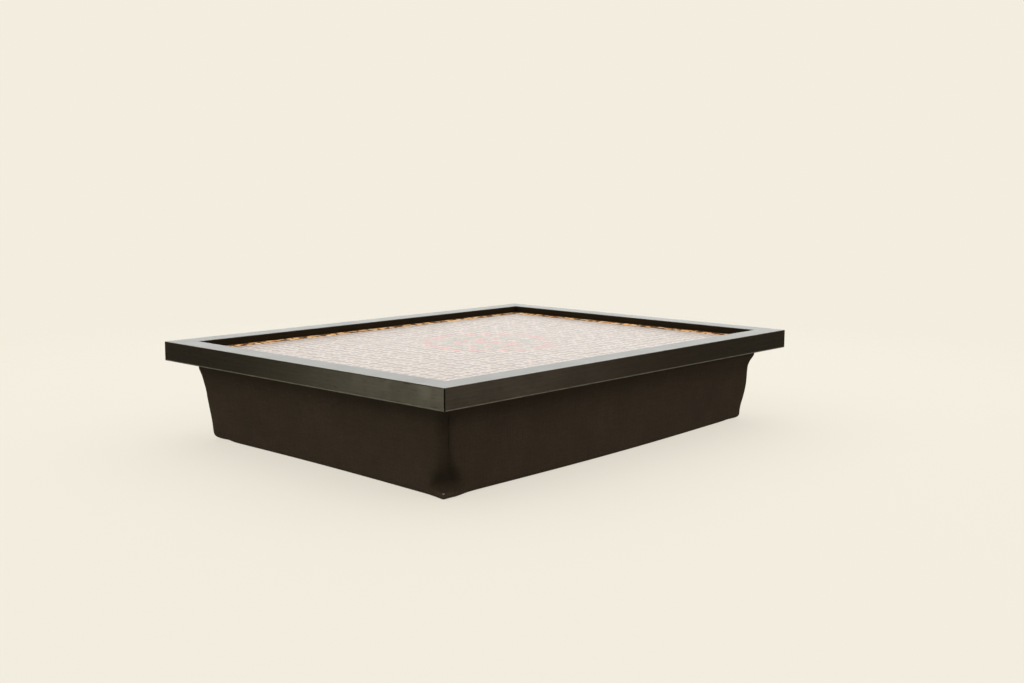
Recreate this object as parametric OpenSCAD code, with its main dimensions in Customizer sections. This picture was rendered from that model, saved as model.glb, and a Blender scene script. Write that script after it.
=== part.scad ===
// Lap tray: a mitred wooden frame with a sunk printed board, over a cloth bag filled with beads.
// The origin is on the floor under the middle of the tray. The long rails run along X.

/* [Frame] */
// Length of the frame, along the long rails
frame_length = 430; // [340:5:560]
// Width of the frame, along the short rails
frame_width = 330; // [260:5:420]
// Width of a rail's top face
rail_face = 20; // [17:0.5:26]
// Radius of the eased edges of the rails
rail_edge_round = 0.8; // [0.4:0.1:1.5]
// Width of the ledge that the tray board rests on
ledge_width = 12; // [10:0.5:16]
// Thickness of the ledge
ledge_thickness = 6; // [5:0.5:8]

/* [Tray board] */
// Depth from the top of the rails to the printed surface
recess_depth = 6; // [4:0.5:12]
// Thickness of the board's core
core_thickness = 3; // [2:0.5:6]
// Thickness of each of the two laminate sheets
laminate_thickness = 0.5; // [0.3:0.1:1]
// Gap between the board's edge and the rails
board_clearance = 0.2; // [0.1:0.05:0.5]

/* [Bag board] */
// Distance from the frame's edge to the edge of the bag board
bag_board_inset = 18; // [14:0.5:20]
// Thickness of the bag board
bag_board_thickness = 6; // [5:0.5:9]
// Radius of the bag board's corners
bag_board_corner = 7; // [5:0.5:12]

/* [Bag] */
// Height of the bag, from the floor to the underside of the rails
bag_height = 66; // [50:1:90]
// Thickness of the cloth
cloth_thickness = 0.8; // [0.5:0.1:1.2]
// Radius of the bag's corners near the floor, seen from above
bag_corner = 8; // [7:0.5:20]
// Radius of the turn between the bag's sides and its bottom
bottom_round = 6; // [4:0.5:14]
// Inset of the side walls near the floor, at the front left corner
front_left_inset = 16.5; // [10:0.5:30]
// Inset of the side walls near the floor, at the front right corner
front_right_inset = 26; // [10:0.5:30]
// Inset of the side walls near the floor, at the back right corner
back_right_inset = 25; // [10:0.5:30]
// Inset of the side walls near the floor, at the back left corner
back_left_inset = 24.5; // [10:0.5:30]
// How far the cloth draws in just below the bag board
shoulder_draw = 1; // [0:0.5:5]
// How far the filling swells the middle of each side
side_swell = 2.5; // [0:0.5:5]
// Depth of the crease in each corner
crease_depth = 3; // [0:0.5:3.5]
// Gap between the filling and what holds it
fill_clearance = 0.3; // [0.2:0.1:0.6]

/* [Screws] */
// Number of screws in each long rail
long_rail_screws = 3; // [2:1:5]
// Number of screws in each short rail
short_rail_screws = 2; // [2:1:4]
// Distance from the frame's end to the first screw or staple in a row
row_end_margin = 60; // [45:1:90]
// Diameter of a screw's shank
screw_diameter = 3; // [2.5:0.1:3.5]
// Diameter of a screw's head
screw_head_diameter = 6; // [5:0.1:7]
// Depth of a screw's head below the ledge's top
screw_head_sink = 0.2; // [0.1:0.1:0.5]
// Radial clearance of a screw in the ledge and in the cloth
screw_clearance = 0.2; // [0.1:0.05:0.4]
// Wood left under the tip of a screw or staple
tip_cover = 0.8; // [0.4:0.1:1.5]

/* [Staples] */
// Number of staples along each long side
long_side_staples = 8; // [4:1:12]
// Number of staples along each short side
short_side_staples = 6; // [3:1:9]
// Width of a staple over its legs
staple_width = 10; // [8:0.5:13]
// Width of the staple wire
staple_wire_width = 1.2; // [0.9:0.1:1.6]
// Thickness of the staple wire
staple_wire_thickness = 0.6; // [0.4:0.1:0.8]
// Distance from the ledge to the line of staples
staple_gap = 3; // [2:0.5:5]
// Width of cloth beyond the line of staples
hem_margin = 5; // [4:0.5:10]

/* [Corner nails] */
// Length of each leg of a corner nail
nail_leg = 5; // [4:0.5:6]
// Thickness of a corner nail's sheet
nail_thickness = 0.7; // [0.5:0.1:1]
// Height of a corner nail
nail_height = 10; // [7:0.5:11]
// Distance along each rail from the frame's corner to the outer nail
nail_inset = 4.5; // [3:0.5:6]
// Clearance of a nail in its slot
nail_clearance = 0.05; // [0.02:0.01:0.1]

/* [Hidden] */
$fn = 48;

// Overrun of every cut
cut_over = 1;

// Heights above the floor
board_thickness = core_thickness + 2 * laminate_thickness;
rail_height = ledge_thickness + board_thickness + recess_depth;
rail_underside = bag_height;
ledge_top = rail_underside + ledge_thickness;
bag_board_top = rail_underside - cloth_thickness;
bag_board_underside = bag_board_top - bag_board_thickness;

// Plan sizes
rail_foot = rail_face + ledge_width;
board_length = frame_length - 2 * (rail_face + board_clearance);
board_width = frame_width - 2 * (rail_face + board_clearance);
board_size = [board_length, board_width];
screw_line_inset = rail_face + ledge_width / 2;
staple_line_inset = rail_foot + staple_gap;
hem_inset = staple_line_inset + hem_margin;

// The frame's sides from the front one anticlockwise: turn, length along the side, size across
// the frame, screws, staples
front_side = [0, frame_length, frame_width, long_rail_screws, long_side_staples];
right_side = [90, frame_width, frame_length, short_rail_screws, short_side_staples];
back_side = [180, frame_length, frame_width, long_rail_screws, long_side_staples];
left_side = [270, frame_width, frame_length, short_rail_screws, short_side_staples];
sides = [front_side, right_side, back_side, left_side];

// Fastener sizes that follow from the boards they hold
screw_length = ledge_thickness + cloth_thickness + bag_board_thickness - tip_cover - screw_head_sink;
screw_head_height = (screw_head_diameter - screw_diameter) / 2;
screw_tip_length = screw_diameter;
recess_arm = screw_head_diameter / 2;
recess_slot = screw_diameter / 4;
staple_leg = cloth_thickness + bag_board_thickness - tip_cover;
nail_pitch = nail_leg + 2 * nail_thickness;

// The bag's corners from the back right one anticlockwise
floor_insets = [back_right_inset, back_left_inset, front_left_inset, front_right_inset];
corner_signs = [[1, 1], [-1, 1], [-1, -1], [1, -1]];
cover_inset = bag_board_inset - cloth_thickness;
cover_corner = bag_board_corner + cloth_thickness;

// Levels of the bag's side wall, from under the bag board down to the turn at the bottom
wall_height_shares = [1, 0.9, 0.63, 0.42, 0.2, 0];
// How far each level has drawn in towards its inset near the floor
wall_draw_shares = [0, 0.32, 0.58, 0.73, 0.89, 1];
wall_shoulder_shares = [0, 1, 0.9, 0.6, 0.3, 0];
wall_swell_shares = [0, 0.5, 1, 1, 0.7, 0.4];
wall_crease_shares = [0, 0.2, 0.35, 0.55, 1, 0.9];
// Least radius of the corners in the turn at the bottom, as a share of their radius in the walls
turn_corner_share = 0.2;

// Steps in each corner, along a long side, along a short side and in the turn at the bottom
corner_steps = 6;
long_side_steps = 5;
short_side_steps = 4;
turn_steps = 4;
crease_sharpness = 4;

function blend(a, b, share) = a + (b - a) * share;

// The points round one corner of the bag, seen from above
function corner_points(k, inset, radius, crease) =
    let (centre = [corner_signs[k][0] * (frame_length / 2 - inset - radius),
                   corner_signs[k][1] * (frame_width / 2 - inset - radius)])
    [for (i = [0 : corner_steps])
        let (turn = 90 * i / corner_steps,
             reach = radius - crease * pow(sin(2 * turn), crease_sharpness))
        centre + reach * [cos(90 * k + turn), sin(90 * k + turn)]];

// The points between two corners, swollen outwards in the middle
function side_points(k, from, to, swell) =
    let (steps = k % 2 == 0 ? long_side_steps : short_side_steps,
         outward = [cos(90 * k + 90), sin(90 * k + 90)])
    [for (i = [1 : steps - 1])
        let (share = i / steps)
        blend(from, to, share) + outward * swell * 4 * share * (1 - share)];

// One closed level of the bag at a height, with an inset for each corner
function level(height, insets, radius, swell, crease) =
    let (corners = [for (k = [0 : 3]) corner_points(k, insets[k], radius, crease)])
    [for (k = [0 : 3])
        for (p = concat(corners[k],
                        side_points(k, corners[k][corner_steps], corners[(k + 1) % 4][0], swell)))
            [p[0], p[1], height]];

function even_insets(inset) = [for (k = [0 : 3]) inset];

// Levels of the cloth over the bag board, a distance in from its outer surface
function hem_levels(depth) = [
    level(rail_underside - depth, even_insets(hem_inset), cover_corner, 0, 0),
    level(rail_underside - depth, even_insets(cover_inset + depth), cover_corner - depth, 0, 0)];

// Levels of the side wall, a distance in from the cloth's outer surface
function wall_levels(depth, top) =
    [for (i = [0 : len(wall_height_shares) - 1])
        let (height = blend(bottom_round, top, wall_height_shares[i]),
             insets = [for (k = [0 : 3])
                 blend(cover_inset, floor_insets[k], wall_draw_shares[i])
                 + shoulder_draw * wall_shoulder_shares[i] + depth],
             radius = blend(cover_corner, bag_corner, wall_draw_shares[i]) - depth)
        level(height, insets, radius, side_swell * wall_swell_shares[i],
              crease_depth * wall_crease_shares[i])];

// Levels of the turn into the bottom, a distance in from the cloth's outer surface
function turn_levels(depth) =
    let (last = len(wall_height_shares) - 1,
         crease = crease_depth * wall_crease_shares[last],
         swell = side_swell * wall_swell_shares[last])
    [for (i = [1 : turn_steps])
        let (angle = 90 * i / turn_steps,
             inward = bottom_round - (bottom_round - depth) * cos(angle))
        level(bottom_round - (bottom_round - depth) * sin(angle),
              [for (k = [0 : 3]) floor_insets[k] + inward],
              max(bag_corner - inward, bag_corner * turn_corner_share), swell, crease * cos(angle))];

// Triangles between two levels that follow each other, outward when the levels run downwards
function band(first, second, count) =
    [for (i = [0 : count - 1])
        let (j = (i + 1) % count)
        each [[first + i, second + i, second + j], [first + i, second + j, first + j]]];

// Triangles that close a level to a point in its middle
function fan(middle, start, count) =
    [for (i = [0 : count - 1]) [middle, start + (i + 1) % count, start + i]];

function flipped(faces) = [for (f = faces) [f[2], f[1], f[0]]];

function bands(start, levels, count) =
    [for (n = [0 : levels - 2]) each band(start + n * count, start + (n + 1) * count, count)];

// The cloth: an outer and an inner surface, joined round the hem's edge
module cover_shell() {
    outer = concat(hem_levels(0), wall_levels(0, bag_board_underside), turn_levels(0));
    inner = concat(hem_levels(cloth_thickness), wall_levels(cloth_thickness, bag_board_underside),
                   turn_levels(cloth_thickness));
    count = len(outer[0]);
    levels = len(outer);
    inner_start = levels * count;
    outer_middle = 2 * levels * count;
    inner_middle = outer_middle + 1;
    points = concat([for (l = outer) each l], [for (l = inner) each l],
                    [[0, 0, 0], [0, 0, cloth_thickness]]);
    faces = concat(bands(0, levels, count),
                   flipped(bands(inner_start, levels, count)),
                   band(inner_start, 0, count),
                   fan(outer_middle, (levels - 1) * count, count),
                   flipped(fan(inner_middle, inner_start + (levels - 1) * count, count)));
    polyhedron(points = points, faces = flipped(faces), convexity = 6);
}

// The body of beads, clear of the cloth and of the bag board
module fill_body() {
    depth = cloth_thickness + fill_clearance;
    fill_top = bag_board_underside - fill_clearance;
    body = concat(wall_levels(depth, fill_top), turn_levels(depth));
    count = len(body[0]);
    levels = len(body);
    bottom_middle = levels * count;
    top_middle = bottom_middle + 1;
    points = concat([for (l = body) each l], [[0, 0, depth], [0, 0, fill_top]]);
    faces = concat(bands(0, levels, count),
                   fan(bottom_middle, (levels - 1) * count, count),
                   flipped(fan(top_middle, 0, count)));
    polyhedron(points = points, faces = flipped(faces), convexity = 4);
}

// A rectangle with round corners, centred
module rounded_rectangle(size, radius) {
    square([size[0] - 2 * radius, size[1]], center = true);
    square([size[0], size[1] - 2 * radius], center = true);
    for (x = [-1, 1], y = [-1, 1])
        translate([x * (size[0] / 2 - radius), y * (size[1] / 2 - radius)]) circle(radius);
}

// Stands its children at the middle of a side's outer edge, with X along the side and Y inward
module at_side(side) {
    rotate([0, 0, side[0]]) translate([0, -side[2] / 2, 0]) children();
}

// Sets its children in an even row along a side
module row_on_side(side, count, inset, height) {
    reach = side[1] / 2 - row_end_margin;
    at_side(side)
        for (i = [0 : count - 1])
            translate([blend(-reach, reach, i / (count - 1)), inset, height]) children();
}

module at_screws() {
    for (s = sides) row_on_side(s, s[3], screw_line_inset, ledge_top) children();
}

module at_staples() {
    for (s = sides) row_on_side(s, s[4], staple_line_inset, rail_underside) children();
}

module screw() {
    shank_length = screw_length - screw_tip_length;
    translate([0, 0, -screw_head_sink]) difference() {
        union() {
            translate([0, 0, -screw_head_height])
                cylinder(d1 = screw_diameter, d2 = screw_head_diameter, h = screw_head_height);
            translate([0, 0, -shank_length]) cylinder(d = screw_diameter, h = shank_length);
            translate([0, 0, -screw_length])
                cylinder(d1 = screw_diameter / 6, d2 = screw_diameter, h = screw_tip_length);
        }
        for (turn = [0, 90])
            rotate([0, 0, turn])
                cube([recess_arm, recess_slot, screw_head_height], center = true);
    }
}

// The space a screw needs in the ledge and in the cloth under it
module screw_passage() {
    bore = screw_diameter + 2 * screw_clearance;
    mouth = screw_head_diameter + 2 * screw_clearance;
    seat_depth = screw_head_sink + screw_head_height;
    translate([0, 0, -seat_depth]) cylinder(d1 = bore, d2 = mouth, h = screw_head_height);
    translate([0, 0, -screw_head_sink]) cylinder(d = mouth, h = screw_head_sink + cut_over);
    translate([0, 0, -ledge_thickness - cloth_thickness - cut_over])
        cylinder(d = bore, h = ledge_thickness + cloth_thickness + cut_over);
}

// The hole a screw cuts in the bag board
module screw_pilot() {
    shank_length = screw_length - screw_tip_length;
    translate([0, 0, -screw_head_sink]) {
        translate([0, 0, -shank_length]) cylinder(d = screw_diameter, h = shank_length);
        translate([0, 0, -screw_length])
            cylinder(d1 = screw_diameter / 6, d2 = screw_diameter, h = screw_tip_length);
    }
}

module staple_legs(top) {
    for (x = [-1, 1])
        translate([x * (staple_width - staple_wire_thickness) / 2, 0, (top - staple_leg) / 2])
            cube([staple_wire_thickness, staple_wire_width, top + staple_leg], center = true);
}

module staple() {
    staple_legs(staple_wire_thickness);
    translate([0, 0, staple_wire_thickness / 2])
        cube([staple_width, staple_wire_width, staple_wire_thickness], center = true);
}

// A corner nail seen from above, its legs running into the two rails, grown by a clearance
module nail_outline(grow) {
    translate([-grow, -grow]) {
        square([nail_leg + 2 * grow, nail_thickness + 2 * grow]);
        square([nail_thickness + 2 * grow, nail_leg + 2 * grow]);
    }
}

// Sets its children at the nails of all four corners, turned to face the frame's middle
module at_nails() {
    places = [[-1, -1, 0], [1, -1, 90], [1, 1, 180], [-1, 1, 270]];
    for (p = places)
        translate([p[0] * frame_length / 2, p[1] * frame_width / 2, rail_underside])
            rotate([0, 0, p[2]])
                for (n = [0, 1])
                    translate([nail_inset + n * nail_pitch, nail_inset + n * nail_pitch, 0])
                        children();
}

// A rail seen from its end: X runs inward from the outer face, Y runs up
module rail_profile() {
    translate([rail_face / 2, rail_height / 2])
        rounded_rectangle([rail_face, rail_height], rail_edge_round);
    translate([rail_face / 2, 0]) square([rail_foot - rail_face / 2, ledge_thickness]);
    translate([rail_face / 2, 0]) square([rail_face / 2, rail_height / 2]);
}

// A rail seen from above, mitred at both ends
module mitre_outline(length) {
    polygon([[-length / 2, 0], [length / 2, 0],
             [length / 2 - rail_foot, rail_foot], [rail_foot - length / 2, rail_foot]]);
}

module rail_blank(side) {
    length = side[1];
    intersection() {
        translate([-length / 2, 0, 0])
            rotate([90, 0, 90]) linear_extrude(length) rail_profile();
        linear_extrude(rail_height) mitre_outline(length);
        translate([0, side[2] / 2, 0])
            linear_extrude(rail_height) rounded_rectangle([length, side[2]], rail_edge_round);
    }
}

module rail(side) {
    color("#3b3229")
    difference() {
        translate([0, 0, rail_underside]) at_side(side) rail_blank(side);
        at_nails()
            translate([0, 0, -cut_over])
                linear_extrude(nail_height + nail_clearance + cut_over) nail_outline(nail_clearance);
        row_on_side(side, side[3], screw_line_inset, ledge_top) screw_passage();
    }
}

module rail_front() {
    rail(front_side);
}

module rail_right() {
    rail(right_side);
}

module rail_back() {
    rail(back_side);
}

module rail_left() {
    rail(left_side);
}

module corner_nails() {
    color("silver") at_nails() linear_extrude(nail_height) nail_outline(0);
}

// One sheet of the tray board, a distance above the ledge
module board_sheet(above, thickness) {
    translate([0, 0, ledge_top + above]) linear_extrude(thickness) square(board_size, center = true);
}

module backing_laminate() {
    color("#4a4038") board_sheet(0, laminate_thickness);
}

module tray_board() {
    color("#a98a63") board_sheet(laminate_thickness, core_thickness);
}

module printed_laminate() {
    color("#c9924a") board_sheet(laminate_thickness + core_thickness, laminate_thickness);
}

module bag_board() {
    size = [frame_length - 2 * bag_board_inset, frame_width - 2 * bag_board_inset];
    color("#c8a878")
    difference() {
        translate([0, 0, bag_board_underside])
            linear_extrude(bag_board_thickness) rounded_rectangle(size, bag_board_corner);
        at_screws() screw_pilot();
        at_staples() staple_legs(0);
    }
}

module bag_board_screws() {
    color("gold") at_screws() screw();
}

module bag_staples() {
    color("silver") at_staples() staple();
}

module bag_cover() {
    color("#2f271f")
    difference() {
        cover_shell();
        at_screws() screw_passage();
        at_staples() staple_legs(staple_wire_thickness);
    }
}

module bead_fill() {
    color("#f2f0ea") fill_body();
}

rail_front();
rail_right();
rail_back();
rail_left();
corner_nails();
tray_board();
printed_laminate();
backing_laminate();
bag_board();
bag_board_screws();
bag_staples();
bag_cover();
bead_fill();
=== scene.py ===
import math
import bmesh
import bpy
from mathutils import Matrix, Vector


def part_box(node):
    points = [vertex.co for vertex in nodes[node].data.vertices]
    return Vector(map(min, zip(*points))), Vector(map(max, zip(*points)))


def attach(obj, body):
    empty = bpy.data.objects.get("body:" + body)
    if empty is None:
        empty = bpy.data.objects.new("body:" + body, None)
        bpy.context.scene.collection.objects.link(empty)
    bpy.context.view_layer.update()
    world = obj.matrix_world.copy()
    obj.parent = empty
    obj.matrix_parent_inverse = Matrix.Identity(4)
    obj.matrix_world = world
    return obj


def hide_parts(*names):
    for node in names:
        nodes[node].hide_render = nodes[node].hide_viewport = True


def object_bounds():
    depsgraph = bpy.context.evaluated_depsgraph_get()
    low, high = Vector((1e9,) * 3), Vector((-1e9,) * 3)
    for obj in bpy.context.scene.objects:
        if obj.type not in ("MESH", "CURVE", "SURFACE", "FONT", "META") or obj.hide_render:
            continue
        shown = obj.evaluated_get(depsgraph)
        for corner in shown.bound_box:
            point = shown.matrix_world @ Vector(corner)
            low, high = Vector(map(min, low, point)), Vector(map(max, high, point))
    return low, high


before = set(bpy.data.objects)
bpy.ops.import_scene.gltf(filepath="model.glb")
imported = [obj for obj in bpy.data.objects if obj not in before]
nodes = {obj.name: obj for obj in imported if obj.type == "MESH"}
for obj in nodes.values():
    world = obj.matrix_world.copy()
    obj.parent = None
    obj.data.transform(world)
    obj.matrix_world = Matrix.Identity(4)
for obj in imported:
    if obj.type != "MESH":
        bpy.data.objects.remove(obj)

cadLow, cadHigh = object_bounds()
bpy.ops.object.select_all(action="DESELECT")

mm = 0.001
railLow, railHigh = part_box("rail_front")
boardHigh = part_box("printed_laminate")[1]
bagBoardLow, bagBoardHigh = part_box("bag_board")
halfLength = cadHigh.x      # half of the frame's length
halfWidth = cadHigh.y       # half of the frame's width

# camera

cameraView = {
    "place": (-777.2 * mm, -738.0 * mm, 220.0 * mm),
    "turn": -47.549,             # degrees from +Y, clockwise is negative
    "tilt": 7.62,                # degrees below the horizon
    "roll": -0.23,
    "lens": 43.95,
    "sensor": 36.0,
    "nearest": 0.01,
    "furthest": 50,
}


def placeCamera():
    bpy.ops.object.camera_add(location=cameraView["place"])
    cam = bpy.context.object
    cam.name = "photoCamera"
    angles = (90 - cameraView["tilt"], cameraView["roll"], cameraView["turn"])
    cam.rotation_euler = [math.radians(angle) for angle in angles]
    cam.data.lens = cameraView["lens"]
    cam.data.sensor_width = cameraView["sensor"]
    cam.data.clip_start = cameraView["nearest"]
    cam.data.clip_end = cameraView["furthest"]
    bpy.context.scene.camera = cam
    print("camera in place")


# small helpers for node trees

def addNode(tree, kind, **settings):
    node = tree.nodes.new(kind)
    for name, value in settings.items():
        setattr(node, name, value)
    return node


def feed(tree, value, socket):
    if isinstance(value, bpy.types.NodeSocket):
        tree.links.new(value, socket)
    else:
        socket.default_value = value


def calc(tree, operation, first, second=0.0):
    node = addNode(tree, "ShaderNodeMath", operation=operation)
    feed(tree, first, node.inputs[0])
    feed(tree, second, node.inputs[1])
    return node.outputs[0]


def plus(tree, first, second):
    return calc(tree, "ADD", first, second)


def minus(tree, first, second):
    return calc(tree, "SUBTRACT", first, second)


def times(tree, first, second):
    return calc(tree, "MULTIPLY", first, second)


def vectorMath(tree, operation, first, second):
    node = addNode(tree, "ShaderNodeVectorMath", operation=operation)
    feed(tree, first, node.inputs[0])
    feed(tree, second, node.inputs[1])
    return node.outputs["Value" if operation in ("LENGTH", "DOT_PRODUCT") else "Vector"]


# 0 below low, 1 above high, smooth between; with low the larger one, 1 below high and 0 above low
def ease(tree, value, low, high):
    node = addNode(tree, "ShaderNodeMapRange", interpolation_type="SMOOTHSTEP")
    feed(tree, value, node.inputs["Value"])
    feed(tree, min(low, high), node.inputs["From Min"])
    feed(tree, max(low, high), node.inputs["From Max"])
    if low < high:
        return node.outputs["Result"]
    return minus(tree, 1.0, node.outputs["Result"])


# 1 below a place, 0 above it, with a blurred edge
def softStep(tree, value, at, blur):
    return ease(tree, value, at + blur, at - blur)


def span(tree, value, low, high, bottom, top):
    node = addNode(tree, "ShaderNodeMapRange")
    names = ("Value", "From Min", "From Max", "To Min", "To Max")
    for name, item in zip(names, (value, low, high, bottom, top)):
        feed(tree, item, node.inputs[name])
    return node.outputs["Result"]


noiseRange = (0.3, 0.7)      # most of a noise lies between these


def spread(tree, noise, bottom, top):
    return span(tree, noise, *noiseRange, bottom, top)


def tint(tree, share, first, second):
    node = addNode(tree, "ShaderNodeMix", data_type="RGBA", clamp_factor=True)
    feed(tree, share, node.inputs["Factor"])
    feed(tree, first, node.inputs[6])       # 6, 7 and 2 are the colour sockets
    feed(tree, second, node.inputs[7])
    return node.outputs[2]


def stretched(tree, vector, scale, shift=(0, 0, 0)):
    node = addNode(tree, "ShaderNodeMapping")
    feed(tree, vector, node.inputs["Vector"])
    node.inputs["Scale"].default_value = scale
    node.inputs["Location"].default_value = shift
    return node.outputs[0]


def speckle(tree, vector, scale=1.0, detail=2.0, rough=0.5):
    node = addNode(tree, "ShaderNodeTexNoise")
    feed(tree, vector, node.inputs["Vector"])
    node.inputs["Scale"].default_value = scale
    node.inputs["Detail"].default_value = detail
    node.inputs["Roughness"].default_value = rough
    return node.outputs["Fac"]


def relief(tree, height, distance, strength=1.0, normal=None):
    node = addNode(tree, "ShaderNodeBump")
    feed(tree, height, node.inputs["Height"])
    node.inputs["Distance"].default_value = distance
    node.inputs["Strength"].default_value = strength
    if normal is not None:
        feed(tree, normal, node.inputs["Normal"])
    return node.outputs["Normal"]


def startMaterial(name):
    material = bpy.data.materials.new(name)
    material.use_nodes = True
    tree = material.node_tree
    return material, tree, tree.nodes["Principled BSDF"]


def objectPlace(tree):
    return addNode(tree, "ShaderNodeTexCoord").outputs["Object"]


def splitPlace(tree, place):
    node = addNode(tree, "ShaderNodeSeparateXYZ")
    feed(tree, place, node.inputs[0])
    return node.outputs[0], node.outputs[1], node.outputs[2]


def dress(node, material):
    target = nodes[node].data.materials
    target.clear()
    target.append(material)


# light and floor

studio = {
    "backdrop": (0.896, 0.847, 0.738, 1),
    "paper": (0.850, 0.808, 0.705, 1),
    "groundLight": 0.46,             # what the cloth and the wood get from below
    "wallLight": 0.32,               # from the room's walls
    "windowLight": 2.30,             # from windows all round, above the walls
    "ceilingLight": 0.50,
    "skirting": (-0.05, 0.05),       # where each level turns into the next one up: the rise of a ray
    "windowFoot": (0.36, 0.47),
    "windowHead": (0.62, 0.76),
    "dimSide": (-0.62, -0.785, 0.0),     # the side behind the camera
    "dimBand": (0.25, 0.85),         # how squarely a ray meets that side where the dimming sets in
    "dimShare": 0.6,                 # how much of the light is left there
    "floorRadius": 1.0,
    "floorPoints": 96,
    "floorFade": (0.95, 0.5),        # the paper ends and begins to fade at these distances
    "paperGlow": 0.72,               # how much of the backdrop's shade shows through the shadows
}

# each softbox: place, aim, width and height, brightness (1 is white), colour, and whether it lights the
# tray or only shines in its gloss; the cards end below the rails' tops, which therefore don't mirror them
softboxes = {
    "backPanel": ((2.05, 1.33, 0.60), (0, 0, 0.08), (4.2, 1.35), 1.20, (0.86, 0.94, 1.0), True),
    "topPanel": ((0.5, 0.5, 3.2), (0, 0, 0.05), (3.6, 3.6), 1.12, (1, 1, 1), True),
    "edgeStrip": ((1.5, 1.4, 2.3), (0, 0, 0.08), (3.0, 0.5), 7.0, (1, 1, 1), False),
    "leftCard": ((-0.50, 0.01, 0.037), (-0.215, -0.13, 0.037), (0.35, 0.07), 81.0, (1, 0.97, 0.72), False),
    "frontCard": ((0.0, -0.46, 0.037), (-0.10, -0.165, 0.037), (0.38, 0.07), 37.0, (1, 0.84, 0.68), False),
}


# how much light comes from each side of the room
def roomLevel(tree):
    way = addNode(tree, "ShaderNodeTexCoord").outputs["Generated"]
    up = splitPlace(tree, way)[2]
    above = ease(tree, up, *studio["skirting"])
    level = span(tree, above, 0.0, 1.0, studio["groundLight"], studio["wallLight"])
    rise = studio["windowLight"] - studio["wallLight"]
    level = plus(tree, level, times(tree, ease(tree, up, *studio["windowFoot"]), rise))
    fall = studio["windowLight"] - studio["ceilingLight"]
    level = minus(tree, level, times(tree, ease(tree, up, *studio["windowHead"]), fall))
    facing = vectorMath(tree, "DOT_PRODUCT", way, studio["dimSide"])
    dim = ease(tree, facing, *studio["dimBand"])
    return times(tree, level, span(tree, dim, 0.0, 1.0, 1.0, studio["dimShare"]))


# the room lights the tray, but the camera, gloss and glass see the plain backdrop
def makeWorld():
    world = bpy.data.worlds.new("studioWorld")
    bpy.context.scene.world = world
    world.use_nodes = True
    tree = world.node_tree
    backdrop = tree.nodes["Background"]
    backdrop.inputs["Color"].default_value = studio["backdrop"]
    backdrop.inputs["Strength"].default_value = 1.0
    ambient = addNode(tree, "ShaderNodeBackground")
    feed(tree, roomLevel(tree), ambient.inputs["Strength"])
    path = addNode(tree, "ShaderNodeLightPath")
    seen = plus(tree, path.outputs["Is Camera Ray"], path.outputs["Is Glossy Ray"])
    seen = plus(tree, seen, path.outputs["Is Transmission Ray"])
    both = addNode(tree, "ShaderNodeMixShader")
    feed(tree, calc(tree, "MINIMUM", seen, 1.0), both.inputs[0])
    feed(tree, ambient.outputs[0], both.inputs[1])
    feed(tree, backdrop.outputs[0], both.inputs[2])
    feed(tree, both.outputs[0], tree.nodes["World Output"].inputs["Surface"])


def hangSoftboxes():
    for name, (place, aim, size, brightness, colour, lights) in softboxes.items():
        bpy.ops.object.light_add(type="AREA", location=place)
        lamp = bpy.context.object
        lamp.name = name
        lamp.rotation_euler = (Vector(aim) - Vector(place)).to_track_quat("-Z", "Y").to_euler()
        lamp.data.shape = "RECTANGLE"
        lamp.data.size, lamp.data.size_y = size
        lamp.data.energy = brightness * math.pi * size[0] * size[1]
        lamp.data.color = colour
        lamp.visible_camera = False
        lamp.visible_diffuse = lights
    print("light set")


# pale paper that fades into the backdrop and can't be seen from below
def palePaper():
    material, tree, shader = startMaterial("palePaper")
    shader.inputs["Base Color"].default_value = studio["paper"]
    shader.inputs["Roughness"].default_value = 1.0
    shader.inputs["Specular IOR Level"].default_value = 0.0
    x, y = splitPlace(tree, objectPlace(tree))[:2]
    reach = calc(tree, "SQRT", plus(tree, times(tree, x, x), times(tree, y, y)))
    under = addNode(tree, "ShaderNodeNewGeometry").outputs["Backfacing"]
    share = times(tree, ease(tree, reach, *studio["floorFade"]), minus(tree, 1.0, under))
    glow = addNode(tree, "ShaderNodeEmission")
    glow.inputs["Color"].default_value = studio["backdrop"]
    seen = addNode(tree, "ShaderNodeLightPath").outputs["Is Camera Ray"]
    paper = addNode(tree, "ShaderNodeMixShader")
    feed(tree, times(tree, seen, studio["paperGlow"]), paper.inputs[0])
    feed(tree, shader.outputs[0], paper.inputs[1])
    feed(tree, glow.outputs[0], paper.inputs[2])
    both = addNode(tree, "ShaderNodeMixShader")
    feed(tree, share, both.inputs[0])
    feed(tree, addNode(tree, "ShaderNodeBsdfTransparent").outputs[0], both.inputs[1])
    feed(tree, paper.outputs[0], both.inputs[2])
    feed(tree, both.outputs[0], tree.nodes["Material Output"].inputs["Surface"])
    return material


def layFloor():
    points, radius = studio["floorPoints"], studio["floorRadius"]
    bpy.ops.mesh.primitive_circle_add(vertices=points, radius=radius, fill_type="NGON")
    floor = bpy.context.object
    floor.name = "studioFloor"
    floor.visible_diffuse = False
    floor.data.materials.append(palePaper())
    print("floor laid")


# rails: black-brown stain under satin lacquer

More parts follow.
